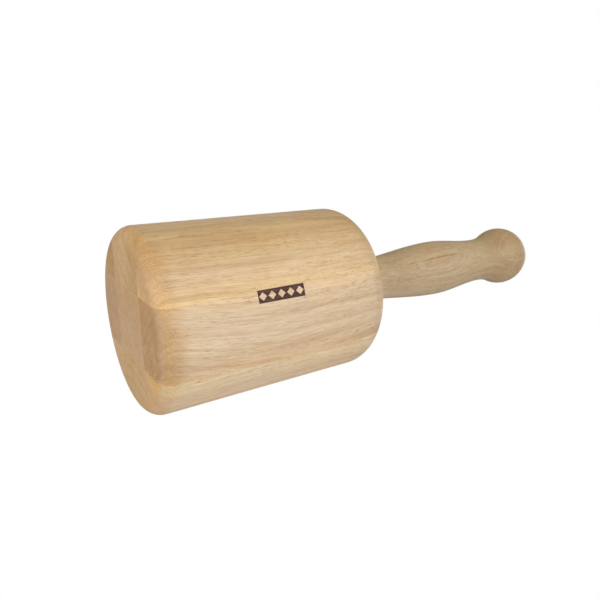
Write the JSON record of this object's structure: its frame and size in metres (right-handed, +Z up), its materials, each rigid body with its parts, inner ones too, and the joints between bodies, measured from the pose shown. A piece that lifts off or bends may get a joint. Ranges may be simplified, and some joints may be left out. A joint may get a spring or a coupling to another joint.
{
  "type": "wooden carver's mallet",
  "caption": "Round wooden carver's mallet: a laminated, slightly tapered turned head and a swelling turned handle with a ball end, for driving chisels and gouges.",
  "frame": {"origin": "centre of the head's flat free end, which the mallet stands on", "axes": "+Z up the turning axis from the head's free end to the handle's ball; X and Y square to the glue joints between the head's strips"},
  "size_m": [0.0994, 0.0994, 0.2774],
  "materials": {
    "handle_wood": "bare, fine-sanded hardwood",
    "front_wood": "bare, fine-sanded hardwood",
    "back_wood": "bare, fine-sanded hardwood",
    "left_wood": "bare, fine-sanded hardwood",
    "right_wood": "bare, fine-sanded hardwood",
    "front_left_wood": "bare, fine-sanded hardwood",
    "front_right_wood": "bare, fine-sanded hardwood",
    "back_left_wood": "bare, fine-sanded hardwood",
    "back_right_wood": "bare, fine-sanded hardwood"
  },
  "bodies": {
    "root": {"handle_with_core": "handle_wood", "head_strip_front": "front_wood", "head_strip_back": "back_wood", "head_strip_left": "left_wood", "head_strip_right": "right_wood", "head_strip_front_left": "front_left_wood", "head_strip_front_right": "front_right_wood", "head_strip_back_left": "back_left_wood", "head_strip_back_right": "back_right_wood"}
  },
  "joints": []
}
